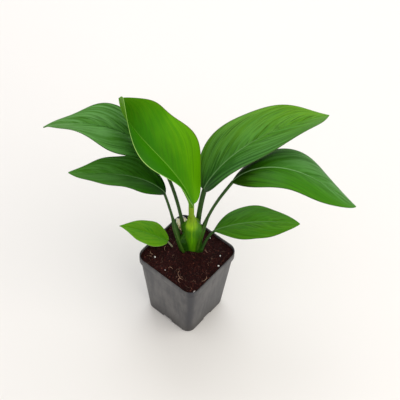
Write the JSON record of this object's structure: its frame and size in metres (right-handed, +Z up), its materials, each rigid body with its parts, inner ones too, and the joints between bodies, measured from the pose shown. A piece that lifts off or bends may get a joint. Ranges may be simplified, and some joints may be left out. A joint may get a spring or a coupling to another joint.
{
  "type": "potted philodendron",
  "caption": "Young philodendron with long-stalked, pointed oval leaves growing from one crown in a tapered square nursery pot filled with soil.",
  "frame": {"origin": "middle of the pot's underside, on the surface the pot stands on", "axes": "+Z up; X and Y run along the pot's sides, -Y and +X being the two sides the picture shows; the two high leaves grow towards -X and +Y"},
  "size_m": [0.2783, 0.2257, 0.285],
  "materials": {
    "pot_plastic": "dark grey moulded polypropylene with a soft sheen",
    "soil": null,
    "crown_green": null,
    "petiole_green": "dark grey green leaf stalk, smooth, fading to pale green at its sheath",
    "leaf_green": "glossy dark green leaf blade with a paler midrib and faint side veins",
    "leaf_young_green": "glossy yellow green young leaf blade with a pale midrib and margin",
    "papery_sheath": "dry cream to tan papery sheath, matt"
  },
  "bodies": {
    "root": {"pot": "pot_plastic", "soil": "soil", "crown": "crown_green", "papery_sheath": "papery_sheath", "petiole_high_left": "petiole_green", "leaf_high_left": "leaf_green", "petiole_low_left": "petiole_green", "leaf_low_left": "leaf_green", "petiole_young": "crown_green", "leaf_young": "leaf_young_green", "petiole_high_right": "petiole_green", "leaf_high_right": "leaf_green", "petiole_low_right": "petiole_green", "leaf_low_right": "leaf_green", "petiole_small_right": "petiole_green", "leaf_small_right": "leaf_green", "petiole_small_left": "petiole_green", "leaf_small_left": "leaf_green"}
  },
  "joints": []
}
